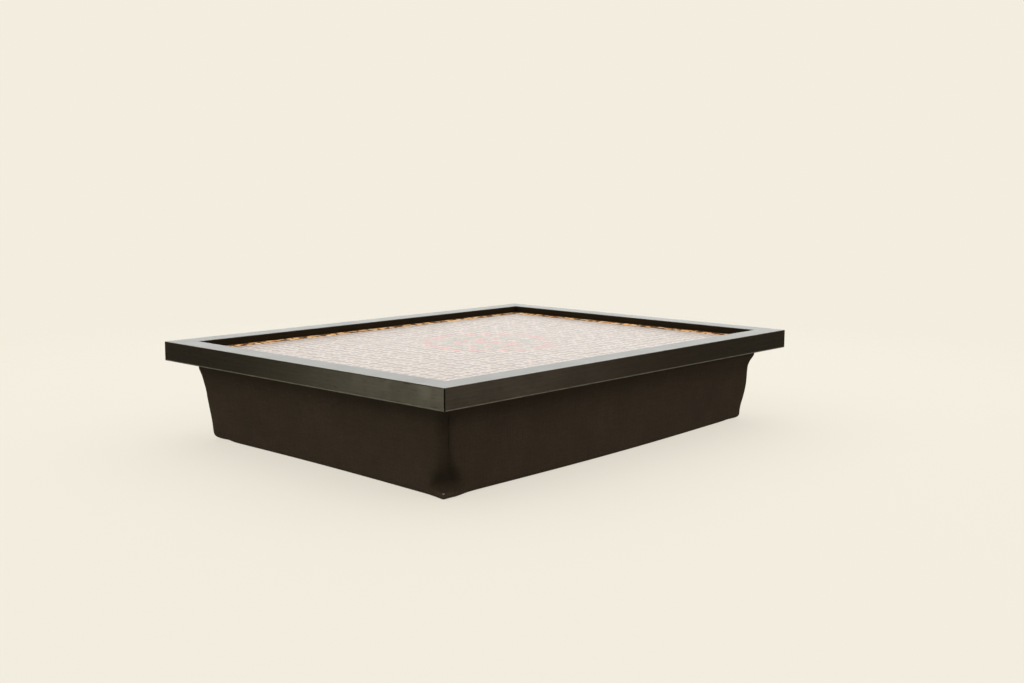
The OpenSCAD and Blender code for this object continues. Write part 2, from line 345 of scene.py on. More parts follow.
railFinish = {
    "stain": (0.0255, 0.0185, 0.0100, 1),
    "paleStain": (0.0320, 0.0240, 0.0138, 1),
    # the dark of pores and the mitre's joint, also used for the painted shade on the upright corners
    "gap": (0.003, 0.002, 0.001, 1),
    # the pale of the painted highlight along the rails' lower and upper outer edges
    "inkWearAndEdgeHighlight": (0.26, 0.23, 0.165, 1),
    "grainAlong": 26.0,              # streaks to the metre, along and across the rail
    "grainAcross": 700.0,
    "grainBand": (0.25, 0.75),       # from the stain's own shade to the pale one
    "poreAlong": 120.0,
    "poreAcross": 2600.0,
    "poreBand": (0.42, 0.30),        # a pore begins and is full at these levels of its noise
    "poreDark": 0.5,
    "mitreBand": (0.448 * mm, 0.168 * mm),   # the mitre's hairline fades so far from its middle
    "cornerShadeBand": (0.78 * mm, 0.52 * mm),     # and the painted shade on each rounded upright corner so far in
    "lowWearUp": (1.2 * mm, 0.6 * mm),       # painted highlight on the lower edge, so far up and so far in
    "lowWearIn": (0.9 * mm, 0.3 * mm),
    "topHighlightUp": (-0.3 * mm, -0.1 * mm),     # and on the upper edge, from the top face
    "topHighlightIn": (1.9 * mm, 0.9 * mm),
    "topHighlight": 0.7,                  # the upper edge's painted highlight against the lower edge's
    # noise that breaks the painted highlight up like rubbed stain
    "highlightNoiseScale": 120.0,
    "highlightNoiseLevels": (0.7, 1.1),
    "cloudScale": 35.0,
    "roughness": (0.36, 0.48),
    "poreRoughness": 0.2,
    "ior": 1.08,
    "lacquerUp": (-0.6 * mm, -0.1 * mm),     # the gloss coat lies on the top faces only
    "lacquerIor": 1.45,
    "lacquerRoughness": 0.40,
    "gapDepth": 3.0,
    "relief": 0.014 * mm,
    "lacquerRelief": 0.010 * mm,
    "rails": {                       # the wood's name, whether it runs along X, and the shift of its grain
        "rail_front": ("frontRailWood", True, 0.0),
        "rail_back": ("backRailWood", True, 7.3),
        "rail_left": ("leftRailWood", False, 3.1),
        "rail_right": ("rightRailWood", False, 11.9),
    },
}


def alongRail(along, across, alongX):
    return (along, across, across) if alongX else (across, along, across)


# eases over a band whose ends are measured from an origin
def bandFrom(tree, value, origin, band):
    return ease(tree, value, origin + band[0], origin + band[1])


def railWood(name, alongX, shift):
    material, tree, shader = startMaterial(name)
    finish = railFinish
    place = objectPlace(tree)
    x, y, z = splitPlace(tree, place)
    scale = alongRail(finish["grainAlong"], finish["grainAcross"], alongX)
    grain = speckle(tree, stretched(tree, place, scale, (shift, shift, shift)), detail=5.0, rough=0.6)
    scale = alongRail(finish["poreAlong"], finish["poreAcross"], alongX)
    pores = speckle(tree, stretched(tree, place, scale, (shift, 0, shift)))
    pore = ease(tree, pores, *finish["poreBand"])
    colour = tint(tree, ease(tree, grain, *finish["grainBand"]), finish["stain"], finish["paleStain"])
    colour = tint(tree, times(tree, pore, finish["poreDark"]), colour, finish["gap"])

    # the mitre's hairline, painted shade on the upright corners, then a painted highlight on the outer
    # edges
    offX = minus(tree, halfLength, calc(tree, "ABSOLUTE", x))
    offY = minus(tree, halfWidth, calc(tree, "ABSOLUTE", y))
    mitre = calc(tree, "ABSOLUTE", minus(tree, offX, offY))
    outer = calc(tree, "MINIMUM", offX, offY)
    # painted shade: each rounded upright corner darkened like the joint, wider than the joint itself
    cornerShade = ease(tree, calc(tree, "MAXIMUM", offX, offY), *finish["cornerShadeBand"])
    gap = calc(tree, "MAXIMUM", ease(tree, mitre, *finish["mitreBand"]), cornerShade)
    # painted highlight: a pale line along the lower and upper outer edges
    low = bandFrom(tree, z, railLow.z, finish["lowWearUp"])
    low = times(tree, low, ease(tree, outer, *finish["lowWearIn"]))
    high = bandFrom(tree, z, railHigh.z, finish["topHighlightUp"])
    high = times(tree, high, ease(tree, outer, *finish["topHighlightIn"]))
    edgeHighlight = plus(tree, low, times(tree, high, finish["topHighlight"]))
    highlightNoise = speckle(tree, place, finish["highlightNoiseScale"], detail=3.0)
    edgeHighlight = times(tree, edgeHighlight, spread(tree, highlightNoise, *finish["highlightNoiseLevels"]))
    colour = tint(tree, edgeHighlight, colour, finish["inkWearAndEdgeHighlight"])
    # the mitre's dark joint together with the painted shade on the upright corners
    colour = tint(tree, gap, colour, finish["gap"])
    feed(tree, colour, shader.inputs["Base Color"])

    cloudy = speckle(tree, place, finish["cloudScale"], detail=3.0)
    rough = spread(tree, cloudy, *finish["roughness"])
    rough = plus(tree, rough, times(tree, pore, finish["poreRoughness"]))
    feed(tree, rough, shader.inputs["Roughness"])
    shader.inputs["IOR"].default_value = finish["ior"]
    feed(tree, bandFrom(tree, z, railHigh.z, finish["lacquerUp"]), shader.inputs["Coat Weight"])
    shader.inputs["Coat IOR"].default_value = finish["lacquerIor"]
    shader.inputs["Coat Roughness"].default_value = finish["lacquerRoughness"]
    height = minus(tree, grain, times(tree, pore, finish["poreDark"]))
    height = minus(tree, height, times(tree, gap, finish["gapDepth"]))
    feed(tree, relief(tree, height, finish["relief"]), shader.inputs["Normal"])
    feed(tree, relief(tree, height, finish["lacquerRelief"]), shader.inputs["Coat Normal"])
    return material


def finishRails():
    for node, (name, alongX, shift) in railFinish["rails"].items():
        dress(node, railWood(name, alongX, shift))
    print("rails finished")


# the board's print: small gold and cream blossoms on brown, with a rosette of red and green ones

printDesign = {
    "ground": (0.122, 0.048, 0.012, 1),
    "gold": (0.335, 0.235, 0.170, 1),
    "cream": (0.400, 0.305, 0.250, 1),
    "heart": (0.20, 0.095, 0.050, 1),
    "red": (0.52, 0.120, 0.095, 1),
    "green": (0.19, 0.195, 0.120, 1),
    "blossom": 9.2 * mm,             # from one blossom to the next
    "jitter": 0.25,                  # how irregularly they are strewn
    "creamBand": (0.35, 0.65),       # a blossom is gold or cream by its own draw from 0 to 1
    "petals": 5.0,
    "reach": 0.43,                   # a blossom's radius in steps
    "petalDepth": 0.14,              # how far its petals stand out
    "edge": 0.09,                    # how soft its edge is
    "heartBand": (0.16, 0.10),       # where its heart ends
    "wander": 0.9 * mm,              # how far the drawing strays from its true place
    "wanderScale": 70.0,
    "pressureScale": 130.0,          # blossoms are printed larger and smaller from place to place
    "pressure": (0.85, 1.15),
    "rings": [(10, "red"), (20, "gold"), (29, "red"), (36, "green"), (50, "gold"), (58, "red")],   # mm
    "ringShare": 0.92,               # how many of a ring's blossoms take its colour
    "inkScale": 260.0,
    "inkBand": (0.35, 0.75),
    "inkMost": 0.15,                 # how much of the ground shows through the ink at most
    "border": 13 * mm,
    "borderBlur": 0.3 * mm,
    "borderWallShade": 2.3 * mm,          # painted shade along the rails' walls, in the border's brown
    "borderWallShadeBlur": 0.4 * mm,
    "borderStep": 5.5 * mm,          # from one of its leaves to the next
    "borderGold": (1.0, 0.62, 0.26, 1),
    "borderAmber": (0.85, 0.44, 0.16, 1),
    "borderBrown": (0.10, 0.042, 0.010, 1),
    "goldBand": (0.35, 0.75),        # a leaf is amber or gold by one draw, and left out by another
    "bareBand": (0.64, 0.86),
    "leafBand": (0.40, 0.54),        # where a leaf ends
    "grainScale": 900.0,
    "roughness": (0.40, 0.50),
    "borderRoughness": 0.35,
    "relief": 0.02 * mm,
    "ior": 1.2,
    "coatIor": 1.48,
    "coatRoughness": 0.42,
}


# cells strewn over a plane, one to a step
def strewn(tree, place, step):
    cells = addNode(tree, "ShaderNodeTexVoronoi", feature="F1", voronoi_dimensions="2D")
    feed(tree, place, cells.inputs["Vector"])
    cells.inputs["Scale"].default_value = 1 / step
    return cells


# a blossom in each cell: how much of it lies at a place, its own middle, a draw from 0 to 1, its heart
def blossoms(tree, place, pressure):
    design = printDesign
    cells = strewn(tree, place, design["blossom"])
    cells.inputs["Randomness"].default_value = design["jitter"]
    middle = cells.outputs["Position"]
    draw = splitPlace(tree, cells.outputs["Color"])
    fromX, fromY = splitPlace(tree, vectorMath(tree, "SUBTRACT", place, middle))[:2]
    turn = times(tree, draw[1], math.tau)
    angle = plus(tree, calc(tree, "ARCTAN2", fromY, fromX), turn)
    lobe = calc(tree, "COSINE", times(tree, angle, design["petals"]))
    reach = plus(tree, times(tree, lobe, design["petalDepth"]), 1.0)
    reach = times(tree, times(tree, reach, design["reach"]), pressure)
    off = minus(tree, cells.outputs["Distance"], reach)
    blossom = ease(tree, off, design["edge"], -design["edge"])
    heart = ease(tree, cells.outputs["Distance"], *design["heartBand"])
    return blossom, middle, draw[0], heart


# the drawing strays from the true figures by a soft noise
def strayed(tree, place):
    stray = addNode(tree, "ShaderNodeTexNoise", noise_dimensions="2D")
    feed(tree, place, stray.inputs["Vector"])
    stray.inputs["Scale"].default_value = printDesign["wanderScale"]
    stray.inputs["Detail"].default_value = 2.0
    wander = 2 * printDesign["wander"]
    centred = vectorMath(tree, "SUBTRACT", stray.outputs["Color"], (0.5, 0.5, 0.5))
    return vectorMath(tree, "ADD", place, vectorMath(tree, "MULTIPLY", centred, (wander, wander, 0)))


# the middle of the board: blossoms, those of the rosette in its colours by their distance from the middle
def blossomField(tree, place, drawn):
    design = printDesign
    pressure = spread(tree, speckle(tree, place, design["pressureScale"]), *design["pressure"])
    blossom, middle, draw, heart = blossoms(tree, drawn, pressure)
    colour = tint(tree, ease(tree, draw, *design["creamBand"]), design["gold"], design["cream"])
    reach = vectorMath(tree, "LENGTH", middle, (0, 0, 0))
    chosen = calc(tree, "LESS_THAN", draw, design["ringShare"])
    for radius, name in reversed(design["rings"]):
        inside = times(tree, calc(tree, "LESS_THAN", reach, radius * mm), chosen)
        colour = tint(tree, inside, colour, design[name])
    colour = tint(tree, heart, colour, design["heart"])
    ink = speckle(tree, place, design["inkScale"], detail=3.0)
    inkWearAndEdgeHighlight = span(tree, ink, *design["inkBand"], 0.0, design["inkMost"])
    colour = tint(tree, inkWearAndEdgeHighlight, colour, design["ground"])
    return tint(tree, blossom, design["ground"], colour)


# the border: matt gold and amber leaves, strewn close along the edge
def leafBorder(tree, drawn, inset):
    design = printDesign
    brown = design["borderBrown"]
    leaves = strewn(tree, drawn, design["borderStep"])
    draws = splitPlace(tree, leaves.outputs["Color"])
    golden = ease(tree, draws[0], *design["goldBand"])
    trim = tint(tree, golden, design["borderAmber"], design["borderGold"])
    trim = tint(tree, ease(tree, draws[1], *design["bareBand"]), trim, brown)
    trim = tint(tree, ease(tree, leaves.outputs["Distance"], *design["leafBand"]), trim, brown)
    # painted shade: a brown band where the board meets the rails' walls
    return tint(tree, softStep(tree, inset, design["borderWallShade"], design["borderWallShadeBlur"]), trim, brown)


def printedLaminate():
    material, tree, shader = startMaterial("printedLaminate")
    design = printDesign
    place = objectPlace(tree)
    x, y = splitPlace(tree, place)[:2]
    drawn = strayed(tree, place)
    offX = minus(tree, boardHigh.x, calc(tree, "ABSOLUTE", x))
    offY = minus(tree, boardHigh.y, calc(tree, "ABSOLUTE", y))
    inset = calc(tree, "MINIMUM", offX, offY)
    inBorder = softStep(tree, inset, design["border"], design["borderBlur"])
    colour = tint(tree, inBorder, blossomField(tree, place, drawn), leafBorder(tree, drawn, inset))
    feed(tree, colour, shader.inputs["Base Color"])

    grain = speckle(tree, place, design["grainScale"], detail=3.0)
    rough = spread(tree, grain, *design["roughness"])
    rough = plus(tree, rough, times(tree, inBorder, design["borderRoughness"]))
    feed(tree, rough, shader.inputs["Roughness"])
    shader.inputs["IOR"].default_value = design["ior"]
    feed(tree, minus(tree, 1.0, inBorder), shader.inputs["Coat Weight"])
    shader.inputs["Coat IOR"].default_value = design["coatIor"]
    shader.inputs["Coat Roughness"].default_value = design["coatRoughness"]
    feed(tree, relief(tree, grain, design["relief"]), shader.inputs["Normal"])
    return material


def finishBoard():
    dress("printed_laminate", printedLaminate())
    print("board printed")


# pieces that the rails, the board and the cloth hide

hiddenFinishes = {
    "tray_board": {
        "name": "rawFibreboard",
        "pale": (0.48, 0.36, 0.24, 1),
        "dark": (0.33, 0.23, 0.14, 1),
        "scale": 900.0,
        "roughness": 0.8,
    },
    "backing_laminate": {
        "name": "backingLaminate",
        "pale": (0.14, 0.12, 0.10, 1),
        "dark": (0.10, 0.085, 0.07, 1),
        "scale": 600.0,
        "roughness": 0.6,
    },
    "bag_board": {
        "name": "rawPlywood",
        "pale": (0.66, 0.50, 0.33, 1),
        "dark": (0.47, 0.33, 0.19, 1),
        "scale": 4.0,
        "stretch": (4, 90, 700),     # its grain runs along the board
        "roughness": 0.75,
    },
    "bag_board_screws": {
        "name": "yellowSteel",
        "pale": (0.70, 0.56, 0.30, 1),
        "dark": (0.55, 0.42, 0.20, 1),
        "scale": 700.0,
        "roughness": 0.32,
        "metal": 1.0,
    },
    "bag_staples": {
        "name": "stapleSteel",
        "pale": (0.66, 0.66, 0.66, 1),
        "dark": (0.50, 0.50, 0.50, 1),
        "scale": 900.0,
        "roughness": 0.36,
        "metal": 1.0,
    },
    "corner_nails": {
        "name": "nailSteel",
        "pale": (0.60, 0.60, 0.60, 1),
        "dark": (0.42, 0.42, 0.43, 1),
        "scale": 500.0,
        "roughness": 0.42,
        "metal": 1.0,
    },
}
hiddenSwing = 0.08               # how far the roughness goes up and down
hiddenRelief = 0.05 * mm


def spottedFinish(finish):
    material, tree, shader = startMaterial(finish["name"])
    place = stretched(tree, objectPlace(tree), finish.get("stretch", (1, 1, 1)))
    spots = speckle(tree, place, finish["scale"], detail=4.0, rough=0.6)
    colour = tint(tree, ease(tree, spots, *noiseRange), finish["dark"], finish["pale"])
    feed(tree, colour, shader.inputs["Base Color"])
    rough = finish["roughness"]
    feed(tree, spread(tree, spots, rough + hiddenSwing, rough - hiddenSwing), shader.inputs["Roughness"])
    feed(tree, relief(tree, spots, hiddenRelief), shader.inputs["Normal"])
    shader.inputs["Metallic"].default_value = finish.get("metal", 0.0)
    return material


def finishHidden():
    for node, finish in hiddenFinishes.items():
        dress(node, spottedFinish(finish))
    print("hidden pieces finished")


# bag: brown cloth drawn over the bag board and filled with beads

# stops by height: heights and lengths in mm, then heights in mm with plain shares
def lengthsUp(*stops):
    return [(height * mm, length * mm) for height, length in stops]


def sharesUp(*stops):
    return [(height * mm, share) for height, share in stops]


# how far the walls are drawn in at a corner, as shares of the height between the roll and the bag board
usualDraw = [
    (0, 1), (0.16, 0.94), (0.28, 0.84), (0.41, 0.73), (0.54, 0.66),
    (0.67, 0.58), (0.79, 0.49), (0.91, 0.29), (1, 0),
]
rightDraw = [
    (0, 1), (0.14, 0.92), (0.27, 0.78), (0.41, 0.65), (0.54, 0.57),
    (0.75, 0.51), (0.82, 0.47), (0.92, 0.28), (1, 0),
]
leftDraw = [
    (0, 1), (0.17, 0.93), (0.28, 0.85), (0.41, 0.74), (0.54, 0.63),
    (0.67, 0.52), (0.79, 0.37), (0.91, 0.21), (1, 0),
]

bagShape = {
    "cloth": 0.75 * mm,
    "underRails": 0.05 * mm,
    "overBoard": 0.8 * mm,           # how far the cloth stands off the bag board
    "hem": 22.8 * mm,
    "topCorner": 7.8 * mm,           # corner radii seen from above
    "floorCorner": 4 * mm,
    "leastCorner": 1 * mm,
    "cornerZone": 12 * mm,           # part of the starting box's edge that becomes half a corner
    "cornerArc": 5 * mm,             # and the cloth that this half corner takes
    "turn": 5.5 * mm,                # radius of the roll into the bottom
    "turnZone": 6 * mm,              # part of the starting box's wall or bottom that becomes half the roll
    "turnReach": 20 * mm,            # how far from a corner its own turn is felt
    "cuts": (62, 46, 24),            # along, across and up
    "gather": 0.40,                  # how much the cuts crowd towards the edges

    # how far the middles of the front, right, back and left walls stand out, near the floor and half way
    # up, then how these swells grow and fade up the wall, and how gently they end at the corners
    "floorSwells": [4.5 * mm, 1 * mm, 1 * mm, -2.2 * mm],
    "middleSwells": [3.0 * mm, 2.5 * mm, 2.5 * mm, 1.0 * mm],
    "floorSwellShares": [(0, 1), (0.2, 0.8), (0.42, 0.5), (0.63, 0.25), (0.9, 0.05), (1, 0)],
    "middleSwellShares": [(0, 0), (0.2, 0.5), (0.42, 1), (0.63, 1), (0.9, 0.4), (1, 0)],
    "swellEnds": 1.5,

    # how free the cloth is to settle, up the wall
    "freeShares": [(0, 0), (0.12, 0.3), (0.35, 1), (0.75, 1), (0.95, 0.1), (1, 0)],

    # the front left, front right, back right and back left corner: the walls' insets near the floor along
    # X and Y, how much wider the roll is, the depth of the tuck beside the corner, and the pinch's share
    "corners": [
        {
            "sign": (-1, -1),
            "inset": (17.2 * mm, 18.9 * mm),
            "draw": usualDraw,
            "turn": -3.3 * mm,
            "tuck": 0.4 * mm,
            "pinch": 1.0,
            "pinchSpread": 1.0,
        },
        {
            "sign": (1, -1),
            "inset": (20.0 * mm, 30.6 * mm),
            "draw": rightDraw,
            "turn": 0.2 * mm,
            "tuck": 1 * mm,
            "pinch": 0.05,
            "pinchSpread": 0.5,
        },
        {
            "sign": (1, 1),
            "inset": (25 * mm, 25 * mm),
            "draw": usualDraw,
            "turn": 1 * mm,
            "tuck": 1.5 * mm,
            "pinch": 0.6,
            "pinchSpread": 0.8,
        },
        {
            "sign": (-1, 1),
            "inset": (25.3 * mm, 25.3 * mm),
            "draw": leftDraw,
            "turn": 2.8 * mm,
            "tuck": 2.4 * mm,
            "pinch": 0.05,
            "pinchSpread": 0.5,
        },
    ],

    # the pinch in a corner, by height: its depth, its reach to the left and right of the seam, how far
    # the seam leans from the corner, and how rounded the pinch is
    "pinchDepth": lengthsUp(
        (0, 0), (2.7, 0.2), (3.7, 1.5), (4.7, 5.5), (5.9, 10.2), (7.8, 11.8), (12, 11.4), (16, 9.6),
        (21, 6.5), (26, 4.2), (36, 3.9), (48, 3.4), (56, 1.8), (60, 0.3), (62, 0),
    ),
    "pinchLeft": lengthsUp((0, 8), (5, 9.5), (9, 9), (14, 8.5), (20, 7.5), (28, 7), (62, 6.5)),
    "pinchRight": lengthsUp((0, 9), (5, 11), (9, 11), (14, 9.5), (20, 5.5), (28, 2.1), (62, 1.5)),
    "pinchLean": lengthsUp((0, 0), (6, 0.5), (11, 1.8), (16, 2.8), (22, 3.4), (30, 3.6), (62, 2.2)),
    "pinchRound": sharesUp((0, 2.6), (12, 2.4), (20, 2.0), (28, 2.2), (62, 2.2)),

    # the painted shade in the pinch, by height, and how much wider than the pinch it reaches; the seam's
    # painted shade line shows above seamEnd
    "shade": sharesUp((0, 0), (3.2, 0), (4.2, 1), (20, 1), (30, 0.6), (64, 0.6)),
    "shadeSpread": 1.6,
    "seamEnd": 26 * mm,

    # beside the near corner the cloth stands proud: low down on the front wall, and along the seam
    "earDepth": lengthsUp((0, 2.4), (3, 2.4), (6, 1.5), (10, 0.5), (14, 0), (62, 0)),
    "earPlace": 12 * mm,
    "earReach": 7 * mm,
    "puffDepth": lengthsUp((0, 0), (16, 0.1), (24, 1.8), (46, 1.8), (60, 0), (62, 0)),
    "puffPlace": 4.5 * mm,
    "puffReach": 2.2 * mm,

    # the tuck beside each corner, by height, and how far along the wall it lies
    "tuckShares": sharesUp((0, 1), (4, 0.8), (10, 0.2), (16, 0), (62, 0)),
    "tuckPlace": 15 * mm,
    "tuckReach": 6 * mm,
}

hair = 0.0001                # shares closer than this are taken as equal
touch = 0.01 * mm            # and so are places
facingShare = 0.5            # a normal with more than this along an axis faces that way
alongShare = 0.99            # and an edge with more than this share of its length runs along it


def slopeAt(stops, i):
    before = stops[max(i - 1, 0)]
    after = stops[min(i + 1, len(stops) - 1)]
    return (after[1] - before[1]) / (after[0] - before[0])


# a smooth curve through pairs of place and value
def curveThrough(stops, x):
    i = 0
    while i < len(stops) - 2 and x > stops[i + 1][0]:
        i += 1
    (x0, y0), (x1, y1) = stops[i], stops[i + 1]
    gap = x1 - x0
    t = min(max((x - x0) / gap, 0), 1)
    rise = slopeAt(stops, i) * gap
    fall = slopeAt(stops, i + 1) * gap
    curve = (2 * t ** 3 - 3 * t ** 2 + 1) * y0 + (3 * t ** 2 - 2 * t ** 3) * y1
    return curve + (t ** 3 - 2 * t ** 2 + t) * rise + (t ** 3 - t ** 2) * fall


def mixed(a, b, share):
    return a + (b - a) * share


def bump(x, middle, reach, power=2):
    return math.exp(-abs((x - middle) / reach) ** power)


# how far a place lies along a side of the starting box, from the corner where that side starts
def alongSide(side, x, y, half):
    return (x + half.x, y + half.y, half.x - x, half.y - y)[side]


def sideLength(side, half):
    return 2 * half[side % 2]


# the side of the starting box that a point on its edge belongs to
def sideOf(x, y, half):
    offs = [abs(y + half.y), abs(x - half.x), abs(y - half.y), abs(x + half.x)]
    return offs.index(min(offs))


# the bag's outline at one level: the point, the way out, the way along from the nearest corner's middle
# (less than 0 on the side that ends there), that corner, and how far the point lies along its side
def outlinePoint(side, along, length, insets, radii):
    zone = bagShape["cornerZone"]
    heading = math.radians(90 * side - 90)
    corner = side if along < length / 2 else (side + 1) % 4
    sign = 1 if corner == side else -1
    middles = []
    for shape, inset, radius in zip(bagShape["corners"], insets, radii):
        signX, signY = shape["sign"]
        middleX = signX * (halfLength - inset.x - radius)
        middleY = signY * (halfWidth - inset.y - radius)
        middles.append(Vector((middleX, middleY)))
    arc = radii[corner] * math.pi / 4
    nearest = min(along, length - along)
    if nearest < zone:
        angle = heading - sign * math.radians(45) * (1 - nearest / zone)
        out = Vector((math.cos(angle), math.sin(angle)))
        return middles[corner] + out * radii[corner], out, sign * arc * nearest / zone, corner, 0
    out = Vector((math.cos(heading), math.sin(heading)))
    share = (along - zone) / (length - 2 * zone)
    start = middles[side] + out * radii[side]
    end = middles[(side + 1) % 4] + out * radii[(side + 1) % 4]
    off = arc + (end - start).length * min(share, 1 - share)
    return start.lerp(end, share), out, sign * off, corner, share


# carries a point of the starting box to the bag; depth is a distance in from the cloth's outside; gives
# the place, the distance from the seam, the painted shade in the pinch and how free the cloth is to settle
def bagPoint(start, half, depth, top):
    ring = max(abs(start.x) / half.x, abs(start.y) / half.y, hair)
    onTop = start.z > top - touch and ring < 1 - hair
    onFloor = start.z < touch
    side = sideOf(start.x / ring, start.y / ring, half)
    along = alongSide(side, start.x / ring, start.y / ring, half)
    length = sideLength(side, half)
    inward = (1 - ring) * half.y
    nearCorner = bagShape["corners"][side if along < length / 2 else (side + 1) % 4]
    zone = bagShape["turnZone"]
    fromCorner = min(along, length - along)
    roll = bagShape["turn"] + nearCorner["turn"] * bump(fromCorner, 0, bagShape["turnReach"])
    angle = 0.0
    if onFloor:
        angle = math.radians(45 + 45 * min(inward / zone, 1))
    elif start.z < zone:
        angle = math.radians(45 * (1 - start.z / zone))
    turnIn = roll - (roll - depth) * math.cos(angle)
    height = roll - (roll - depth) * math.sin(angle)
    if angle == 0:
        height = mixed(roll, top, (start.z - zone) / (top - zone))
    share = min(max((height - roll) / (bagBoardLow.z - roll), 0), 1)
    topInset = halfLength - bagBoardHigh.x - bagShape["overBoard"]
    grown = turnIn + (inward if onTop else 0)
    insets = []
    radii = []
    for shape in bagShape["corners"]:
        drawn = curveThrough(shape["draw"], share)
        insetX, insetY = [mixed(topInset, inset, drawn) + grown for inset in shape["inset"]]
        insets.append(Vector((insetX, insetY)))
        radius = mixed(bagShape["topCorner"], bagShape["floorCorner"], drawn) - grown
        radii.append(max(radius, bagShape["leastCorner"]))
    point, out, off, corner, along = outlinePoint(side, along, length, insets, radii)
    swell = bagShape["floorSwells"][side] * curveThrough(bagShape["floorSwellShares"], share)
    swell += bagShape["middleSwells"][side] * curveThrough(bagShape["middleSwellShares"], share)
    point += out * swell * (4 * along * (1 - along)) ** bagShape["swellEnds"]

    # the pinch at the corner's seam, and what stands out or is tucked in beside it
    shape = bagShape["corners"][corner]
    toCorner = Vector(shape["sign"]).normalized()
    gap = off - curveThrough(bagShape["pinchLean"], height)
    reach = curveThrough(bagShape["pinchLeft" if gap < 0 else "pinchRight"], height) * shape["pinchSpread"]
    fold = bump(gap, 0, reach, curveThrough(bagShape["pinchRound"], height)) * shape["pinch"]
    point -= toCorner * fold * curveThrough(bagShape["pinchDepth"], height)
    tuck = bump(abs(off), bagShape["tuckPlace"], bagShape["tuckReach"])
    point -= out * shape["tuck"] * curveThrough(bagShape["tuckShares"], height) * tuck
    if corner == 0:
        ear = bump(off, bagShape["earPlace"], bagShape["earReach"])
        point += out * curveThrough(bagShape["earDepth"], height) * ear
        puff = bump(gap, bagShape["puffPlace"], bagShape["puffReach"])
        point += out * curveThrough(bagShape["puffDepth"], height) * puff
    if onFloor and inward > zone:
        point *= 1 - (inward - zone) / (half.y - zone)
    if onTop or onFloor:
        return Vector((point.x, point.y, height)), 1.0, 0.0, 0.0
    # the distance from the seam for its line of painted shade, which shows above seamEnd only
    seamShade = abs(gap) if height > bagShape["seamEnd"] else 1.0
    # the share of painted shade in the pinch, a little wider than the pinch itself
    pinchShade = bump(gap, 0, reach * bagShape["shadeSpread"]) * shape["pinch"]
    pinchShade *= min(max(curveThrough(bagShape["shade"], height), 0), 1)
    free = curveThrough(bagShape["freeShares"], share) * (1 - fold)
    return Vector((point.x, point.y, height)), seamShade, pinchShade, free


def pickEdgesAlong(piece, axis):
    form = bmesh.from_edit_mesh(piece.data)
    for edge in form.edges:
        way = edge.verts[1].co - edge.verts[0].co
        edge.select_set(False)
        if abs(way[axis]) > alongShare * way.length:
            edge.select_set(True)
    bmesh.update_edit_mesh(piece.data)


# a box of close cuts, crowded towards its edges
def startBox(name, top):
    half = Vector((bagBoardHigh.x + bagShape["overBoard"], bagBoardHigh.y + bagShape["overBoard"]))
    size = (2 * half.x, 2 * half.y, top)
    bpy.ops.mesh.primitive_cube_add(size=1, location=(0, 0, top / 2), scale=size)
    box = bpy.context.object
    box.name = name
    bpy.ops.object.transform_apply(location=True, rotation=True, scale=True)
    bpy.ops.object.mode_set(mode="EDIT")
    bpy.ops.mesh.select_mode(type="EDGE")
    for axis in range(3):
        pickEdgesAlong(box, axis)
        bpy.ops.mesh.subdivide(number_cuts=bagShape["cuts"][axis])
    bpy.ops.object.mode_set(mode="OBJECT")
    centre, reach = Vector((0, 0, top / 2)), Vector((half.x, half.y, top / 2))
    gather = bagShape["gather"]
    for vertex in box.data.vertices:
        for axis in range(3):
            share = (vertex.co[axis] - centre[axis]) / reach[axis]
            vertex.co[axis] = centre[axis] + reach[axis] * ((1 + gather) * share - gather * share ** 3)
    return box, half


# the cloth's flat length up to a place along one side of the starting box
def laidOut(along, length):
    zone, arc = bagShape["cornerZone"], bagShape["cornerArc"]
    if along < zone:
        return along * arc / zone
    if along > length - zone:
        return length - 2 * zone + 2 * arc - (length - along) * arc / zone
    return arc + along - zone


def sideFacing(normal):
    if abs(normal.y) > facingShare:
        return 0 if normal.y < 0 else 2
    return 1 if normal.x > 0 else 3


# keeps the flat pattern as UVs in metres: the walls in one strip, the bottom and the hem as they lie
def layPattern(box, half):
    flat = box.data.uv_layers.active or box.data.uv_layers.new(name="cloth")
    flat.name = "cloth"
    longSide, shortSide = laidOut(2 * half.x, 2 * half.x), laidOut(2 * half.y, 2 * half.y)
    starts = (0, longSide, longSide + shortSide, 2 * longSide + shortSide)
    for face in box.data.polygons:
        side = sideFacing(face.normal)
        for loop in face.loop_indices:
            place = box.data.vertices[box.data.loops[loop].vertex_index].co
            if abs(face.normal.z) > facingShare:
                flat.data[loop].uv = (place.x, place.y)
                continue
            along = laidOut(alongSide(side, place.x, place.y, half), sideLength(side, half))
            flat.data[loop].uv = (starts[side] + along, place.z)


# cuts the opening that the hem leaves over the bag board
def cutHem(box, half, top):
    bpy.ops.object.mode_set(mode="EDIT")
    bpy.ops.mesh.select_mode(type="FACE")
    form = bmesh.from_edit_mesh(box.data)
    for face in form.faces:
        middle = face.calc_center_median()
        inner = min(half.x - abs(middle.x), half.y - abs(middle.y)) > bagShape["hem"]
        face.select_set(middle.z > top - touch and inner)
    bmesh.update_edit_mesh(box.data)
    bpy.ops.mesh.delete(type="FACE")
    bpy.ops.object.mode_set(mode="OBJECT")


clothSettling = {
    "frames": 20,
    "quality": 8,
    "pressure": 0.5,
    "slack": 0.001,              # how much longer the cloth is cut than it lies
    "mass": 0.25,
    "stretch": 20.0,
    "shear": 10.0,
    "bend": 1.0,
    "hold": 0.4,                 # how firmly the middle of a wall keeps its place
    "cap": 1.8 * mm,             # and how far it may stray
}


